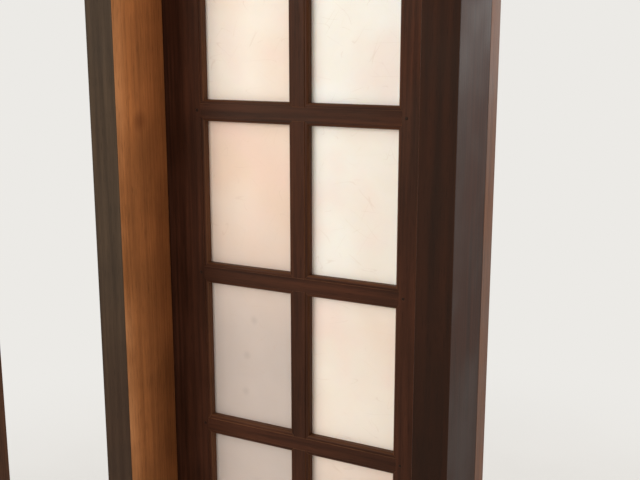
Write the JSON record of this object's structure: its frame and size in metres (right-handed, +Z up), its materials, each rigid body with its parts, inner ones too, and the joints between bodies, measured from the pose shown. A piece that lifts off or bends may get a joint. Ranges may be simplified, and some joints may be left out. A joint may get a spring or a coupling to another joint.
{
  "type": "shoji sliding screen",
  "caption": "Sliding screen with translucent panes in a moulded dark wood lattice, in its deep doorway frame, on floor rollers.",
  "frame": {"origin": "on the floor under the sill track, in the middle of the doorway's width and in the plane of the leaf's front face", "axes": "+Z up, +X to the right along the leaf's travel, with the leaf opening towards -X, and +Y away from the doorway's front"},
  "size_m": [1.261, 0.199, 2.171],
  "materials": {
    "lining_wood": "oiled, brown",
    "track_wood": "oiled, dark brown",
    "leaf_wood": "stained dark brown, satin",
    "bead_wood": "stained dark brown, satin",
    "peg_wood": "end grain, stained",
    "washi_sheet": "translucent paper laminate",
    "rail_brass": "drawn, worn bright on the crest",
    "pull_brass": "pressed, darkened",
    "roller_steel": "pressed, zinc plated",
    "roller_brass": "turned",
    "screw_steel": "plated"
  },
  "bodies": {
    "frame": {"jamb_left": "lining_wood", "jamb_right": "lining_wood", "lining_head": "lining_wood", "lining_sill": "lining_wood", "head_track": "track_wood", "sill_track": "track_wood", "strike_post": "track_wood", "end_post": "track_wood", "sill_rail": "rail_brass", "frame_screws": "screw_steel"},
    "leaf": {"beads_left_1": "bead_wood", "beads_left_2": "bead_wood", "beads_left_3": "bead_wood", "beads_left_4": "bead_wood", "beads_left_5": "bead_wood", "beads_left_6": "bead_wood", "beads_right_1": "bead_wood", "beads_right_2": "bead_wood", "beads_right_3": "bead_wood", "beads_right_4": "bead_wood", "beads_right_5": "bead_wood", "beads_right_6": "bead_wood", "bottom_rail": "leaf_wood", "cross_bar_1": "leaf_wood", "cross_bar_2": "leaf_wood", "cross_bar_3": "leaf_wood", "cross_bar_4": "leaf_wood", "cross_bar_5": "leaf_wood", "finger_pull_back": "pull_brass", "finger_pull_front": "pull_brass", "pane_left_1": "washi_sheet", "pane_left_2": "washi_sheet", "pane_left_3": "washi_sheet", "pane_left_4": "washi_sheet", "pane_left_5": "washi_sheet", "pane_left_6": "washi_sheet", "pane_right_1": "washi_sheet", "pane_right_2": "washi_sheet", "pane_right_3": "washi_sheet", "pane_right_4": "washi_sheet", "pane_right_5": "washi_sheet", "pane_right_6": "washi_sheet", "roller_axle_left": "roller_steel", "roller_axle_right": "roller_steel", "roller_housing_left": "roller_steel", "roller_housing_right": "roller_steel", "roller_screws": "screw_steel", "stile_left": "leaf_wood", "stile_right": "leaf_wood", "tenon_pegs": "peg_wood", "top_rail": "leaf_wood", "upright_bar": "leaf_wood"},
    "wheel_left": {"roller_wheel_left": "roller_brass"},
    "wheel_right": {"roller_wheel_right": "roller_brass"}
  },
  "joints": [
    {"name": "leaf_slide", "type": "slide", "parent": "frame", "child": "leaf", "axis": [-1, 0, 0], "range_m": [0, 0.53]},
    {"name": "wheel_left_roll", "type": "hinge", "parent": "leaf", "child": "wheel_left", "pos_m": [-0.1455, 0.018, 0.0473], "axis": [0, 1, 0], "range_deg": [-2535, 5]},
    {"name": "wheel_right_roll", "type": "hinge", "parent": "leaf", "child": "wheel_right", "pos_m": [0.1345, 0.018, 0.0473], "axis": [0, 1, 0], "range_deg": [-2535, 5]}
  ],
  "couplings": [
    {"joint": "wheel_left_roll", "follows": "leaf_slide", "rad_per_m": -83.333},
    {"joint": "wheel_right_roll", "follows": "leaf_slide", "rad_per_m": -83.333}
  ]
}
